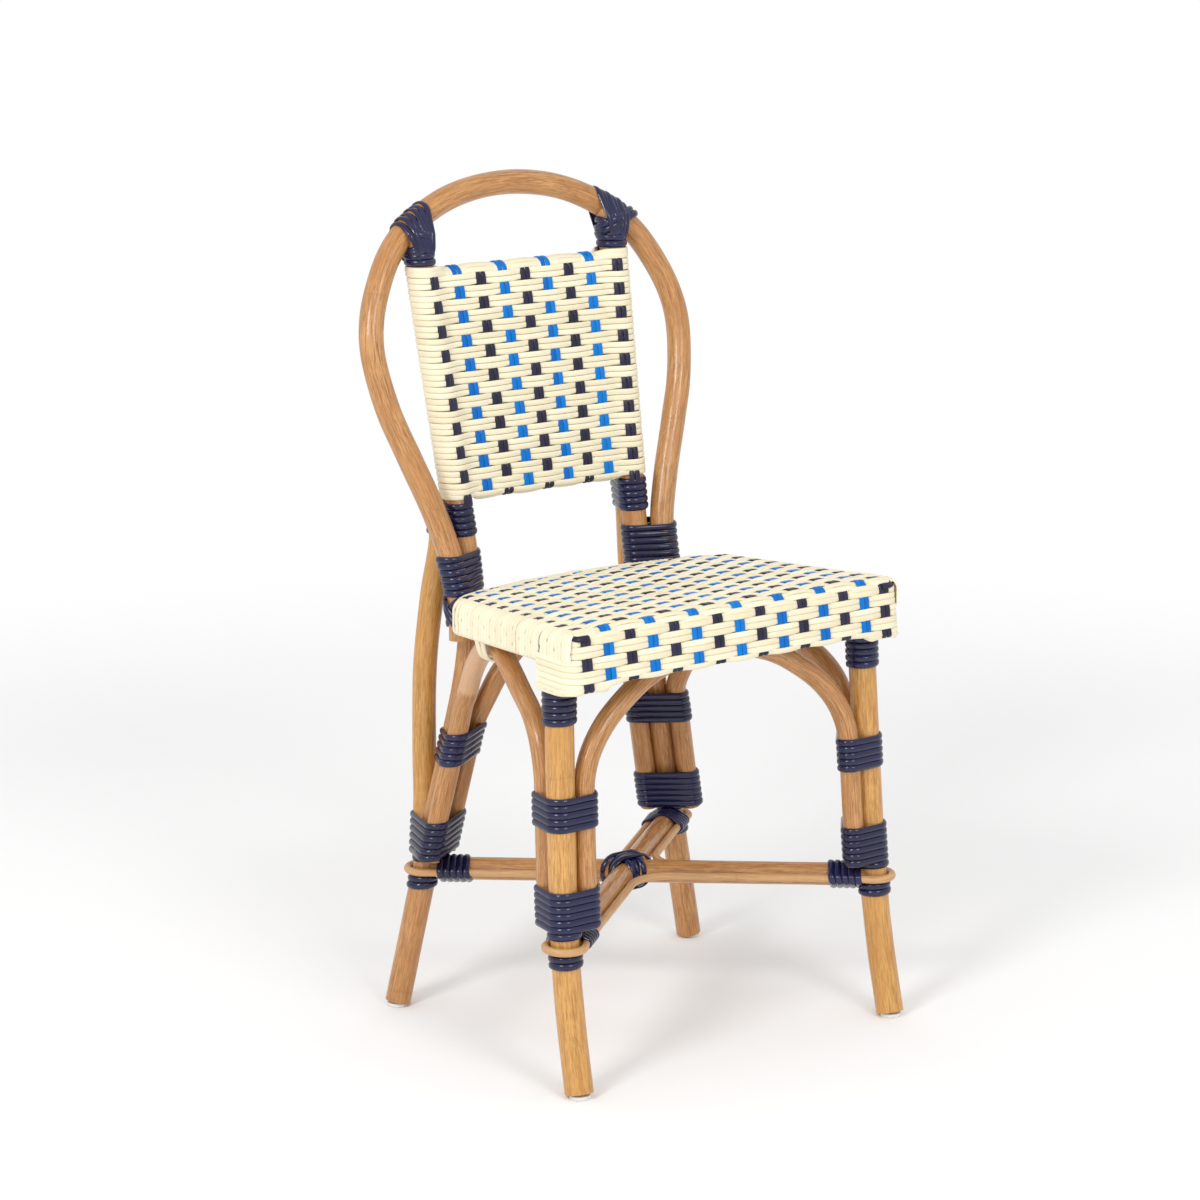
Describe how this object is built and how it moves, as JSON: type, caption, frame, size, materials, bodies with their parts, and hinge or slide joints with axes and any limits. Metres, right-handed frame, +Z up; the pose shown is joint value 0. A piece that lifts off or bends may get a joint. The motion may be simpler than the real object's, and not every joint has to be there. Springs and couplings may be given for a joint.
{
  "type": "bistro chair",
  "caption": "Bistro side chair of bent rattan poles with a hoop back, strand-wound joints, arched braces, a crossed stretcher, and a woven seat and back panel.",
  "frame": {"origin": "centre of the chair's bounding box at floor level", "axes": "+Z up, the chair faces -Y, +X to the right of someone standing in front of it"},
  "size_m": [0.4454, 0.4342, 0.8645],
  "materials": {
    "honey_pole": "satin lacquer",
    "pale_pole": "satin lacquer",
    "peeled_cane": "satin",
    "navy_strand": "gloss",
    "cream_strand": "satin",
    "woven_strand": "satin",
    "floor_glide": "satin"
  },
  "bodies": {
    "root": {"front_leg_right": "pale_pole", "front_leg_left": "pale_pole", "rear_leg_right": "honey_pole", "rear_leg_left": "honey_pole", "back_stay_right": "pale_pole", "back_stay_left": "pale_pole", "back_hoop": "honey_pole", "glide_front_right": "floor_glide", "glide_front_left": "floor_glide", "glide_rear_right": "floor_glide", "glide_rear_left": "floor_glide", "front_arch": "honey_pole", "rear_arch": "honey_pole", "side_arch_right": "honey_pole", "side_arch_left": "honey_pole", "stretcher_left_to_right": "honey_pole", "stretcher_right_to_left": "honey_pole", "stretcher_cane": "peeled_cane", "seat_frame": "honey_pole", "seat_rail_front_top": "honey_pole", "seat_rail_front_low": "honey_pole", "seat_weave": "woven_strand", "back_weave": "woven_strand", "back_rail_foot": "honey_pole", "back_rail_top": "honey_pole", "tie_front_low_right": "navy_strand", "tie_front_low_left": "navy_strand", "tie_front_middle_right": "navy_strand", "tie_front_middle_left": "navy_strand", "tie_front_top_right": "navy_strand", "tie_front_top_left": "navy_strand", "tie_rear_low_right": "navy_strand", "tie_rear_low_left": "navy_strand", "tie_rear_middle_right": "navy_strand", "tie_rear_middle_left": "navy_strand", "tie_hoop_foot_right": "navy_strand", "tie_hoop_foot_left": "navy_strand", "tie_hoop_end_right": "navy_strand", "tie_hoop_end_left": "navy_strand", "tie_panel_foot_right": "navy_strand", "tie_panel_foot_left": "navy_strand", "tie_upright_top_right": "navy_strand", "tie_upright_top_left": "navy_strand", "tie_hoop_top_right": "navy_strand", "tie_hoop_top_left": "navy_strand", "tie_stretcher_front_right": "navy_strand", "tie_stretcher_front_left": "navy_strand", "tie_stretcher_rear_right": "navy_strand", "tie_stretcher_rear_left": "navy_strand", "tie_side_arch_right": "cream_strand", "tie_side_arch_left": "cream_strand", "tie_stretcher_cross": "navy_strand", "collar_front_right": "navy_strand", "collar_front_left": "navy_strand", "collar_rear_right": "navy_strand", "collar_rear_left": "navy_strand"}
  },
  "joints": []
}
